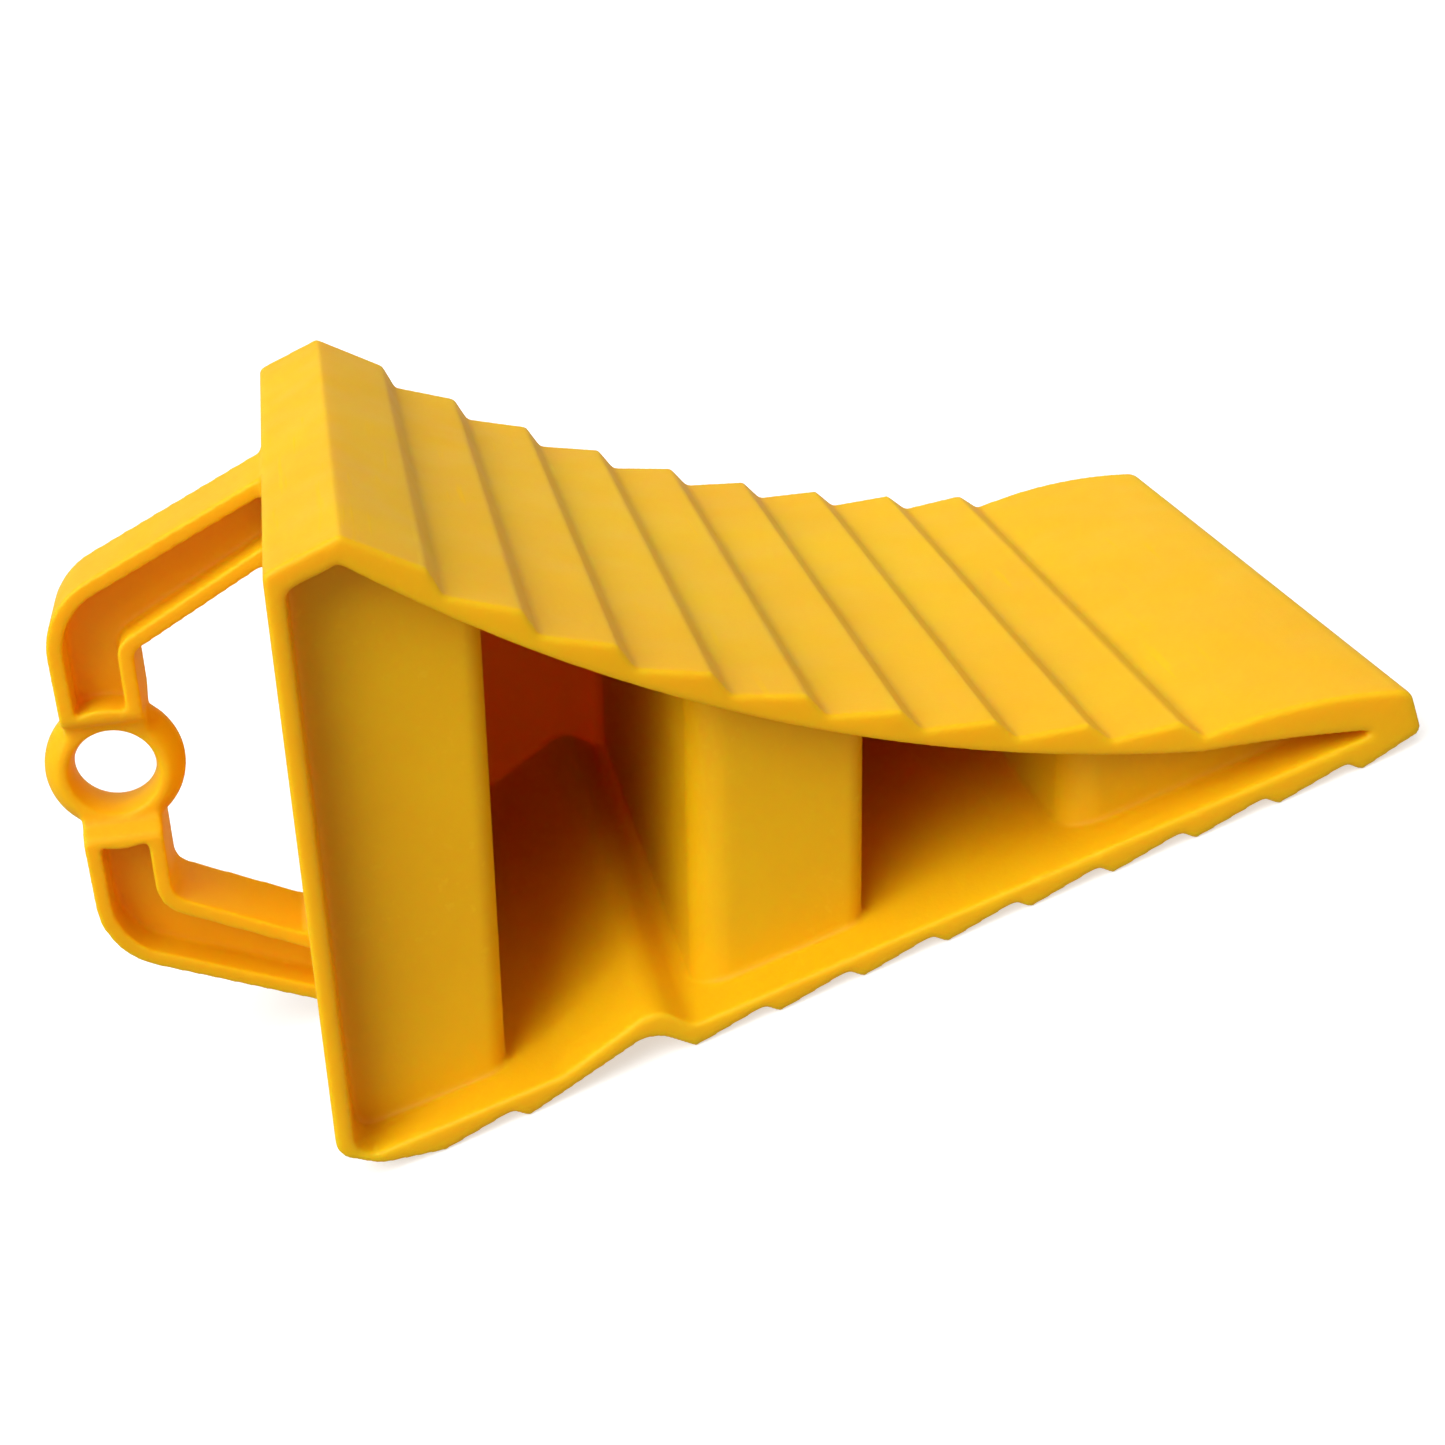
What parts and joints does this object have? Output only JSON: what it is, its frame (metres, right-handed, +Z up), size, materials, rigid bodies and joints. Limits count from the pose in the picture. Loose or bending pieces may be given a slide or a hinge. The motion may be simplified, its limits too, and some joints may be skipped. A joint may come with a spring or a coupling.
{
  "type": "wheel chock",
  "caption": "Hollow moulded plastic wheel chock: concave stepped tread, serrated sole, folded web inside, and a back handle with an eyelet.",
  "frame": {"origin": "on the ground plane under the middle of the bounding box, halfway across the width", "axes": "+X along the length towards the toe, +Y across the width, +Z up; the handle is at -X"},
  "size_m": [0.1992, 0.12, 0.0925],
  "materials": {
    "body_plastic": "satin moulded safety yellow, fine grain"
  },
  "bodies": {
    "root": {"back_wall": "body_plastic", "brow": "body_plastic", "cross_wall_1": "body_plastic", "cross_wall_2": "body_plastic", "cross_wall_3": "body_plastic", "cross_wall_4": "body_plastic", "eyelet": "body_plastic", "far_panel_1": "body_plastic", "far_panel_2": "body_plastic", "handle_bridge_lower": "body_plastic", "handle_bridge_upper": "body_plastic", "handle_inner_flange_lower": "body_plastic", "handle_inner_flange_upper": "body_plastic", "handle_outer_flange_lower": "body_plastic", "handle_outer_flange_upper": "body_plastic", "handle_web_lower": "body_plastic", "handle_web_upper": "body_plastic", "heel": "body_plastic", "near_panel_1": "body_plastic", "near_panel_2": "body_plastic", "near_panel_3": "body_plastic", "sole_channel": "body_plastic", "sole_plate_front": "body_plastic", "sole_plate_rear": "body_plastic", "sole_tooth_00": "body_plastic", "sole_tooth_01": "body_plastic", "sole_tooth_03": "body_plastic", "sole_tooth_04": "body_plastic", "sole_tooth_05": "body_plastic", "sole_tooth_06": "body_plastic", "sole_tooth_07": "body_plastic", "sole_tooth_08": "body_plastic", "sole_tooth_09": "body_plastic", "sole_tooth_10": "body_plastic", "sole_tooth_11": "body_plastic", "toe": "body_plastic", "tread_sheet": "body_plastic", "tread_step_01": "body_plastic", "tread_step_02": "body_plastic", "tread_step_03": "body_plastic", "tread_step_04": "body_plastic", "tread_step_05": "body_plastic", "tread_step_06": "body_plastic", "tread_step_07": "body_plastic", "tread_step_08": "body_plastic", "tread_step_09": "body_plastic"}
  },
  "joints": []
}
